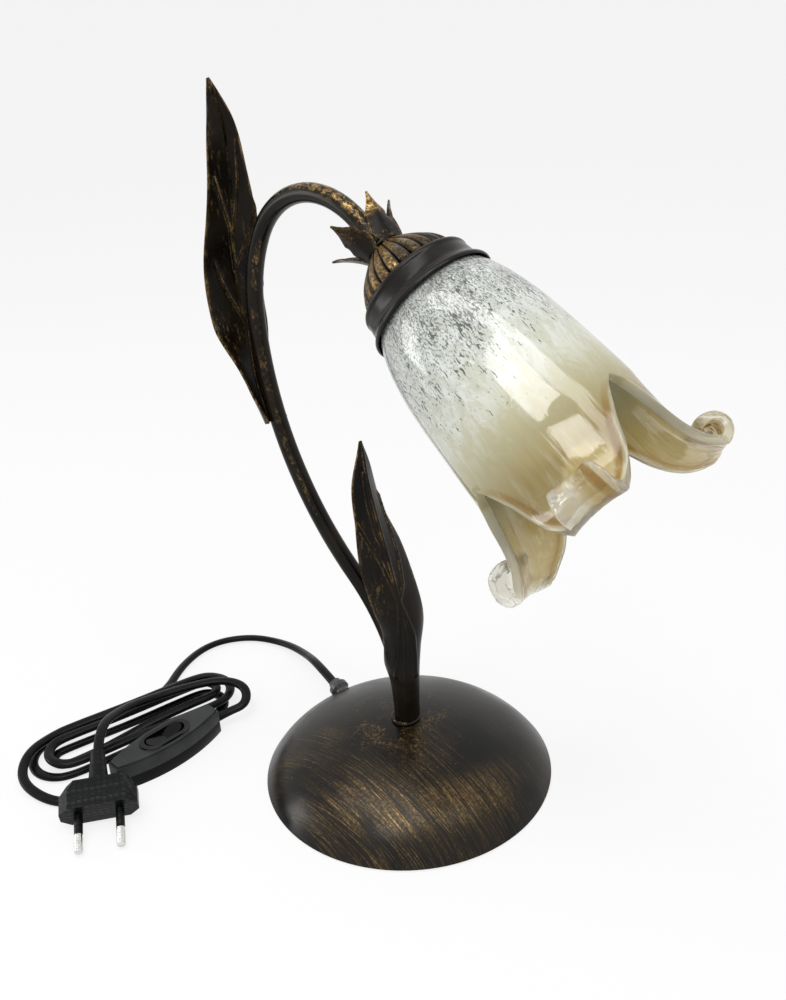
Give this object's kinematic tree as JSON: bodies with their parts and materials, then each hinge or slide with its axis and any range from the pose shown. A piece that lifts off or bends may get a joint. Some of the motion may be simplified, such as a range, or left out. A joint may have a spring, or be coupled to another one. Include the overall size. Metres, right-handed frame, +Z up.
{
  "type": "table lamp with flower shade",
  "caption": "Table lamp with a round domed base, a bent tube stem with stamped leaves, a hanging tulip glass shade, and a cord with inline switch and plug.",
  "frame": {"origin": "centre of the base's underside, on the table", "axes": "+Z up; +X the way the hook leans the shade; the bent stem lies in the XZ plane; the cord lies towards -X and -Y"},
  "size_m": [0.2956, 0.209, 0.3098],
  "materials": {
    "patina": "near-black brown lacquer with brushed gold highlights",
    "band_metal": "smooth satin dark brown lacquer",
    "iron": "rough cast",
    "felt": "dark felt",
    "zinc": "zinc plated",
    "clear_plastic": "translucent",
    "holder_plastic": "black thermoplastic",
    "porcelain": "glazed white",
    "brass": "plain",
    "art_glass": "milky at the neck with dark flecks, amber and clear at the petals",
    "bulb_glass": "opal white",
    "bulb_cap": "pressed thread",
    "core_sheath": "white sheath",
    "cord_black": "satin black flex",
    "switch_gloss": "black",
    "switch_matt": "charcoal, fine grain",
    "plug_plastic": "black moulding",
    "plug_rubber": "black moulding",
    "nickel": "bright nickel plate"
  },
  "bodies": {
    "lamp": {"base_dome": "patina", "base_ballast": "iron", "base_pad": "felt", "stem_washer": "zinc", "stem_nut": "zinc", "foot_ring": "patina", "cord_bushing": "clear_plastic", "stem_tube": "patina", "lower_leaf": "patina", "upper_leaf": "patina", "stem_collar": "patina", "calyx": "patina", "fluted_cap": "patina", "shade_band": "band_metal", "threaded_nipple": "zinc", "lock_nut": "zinc", "holder_shell": "holder_plastic", "holder_core": "porcelain", "screw_contact": "brass", "centre_contact": "brass", "shade_ring": "holder_plastic", "glass_shade": "art_glass", "bulb_glass": "bulb_glass", "bulb_cap": "bulb_cap", "inner_cord": "core_sheath", "cord_lead": "cord_black", "cord_hank": "cord_black", "cord_switch_end": "cord_black", "cord_plug_end": "cord_black", "switch_base": "switch_gloss", "switch_cover": "switch_matt", "switch_contacts": "brass", "switch_bridge": "brass", "switch_screws": "zinc", "plug_body": "plug_plastic", "plug_boot": "plug_rubber", "plug_pins": "nickel", "pin_sleeves": "plug_plastic"},
    "rocker": {"switch_rocker": "switch_gloss"}
  },
  "joints": [
    {"name": "rocker_tilt", "type": "hinge", "parent": "lamp", "child": "rocker", "pos_m": [-0.095, -0.0732, 0.011], "axis": [-1, 0, 0], "range_deg": [0, 14]}
  ]
}
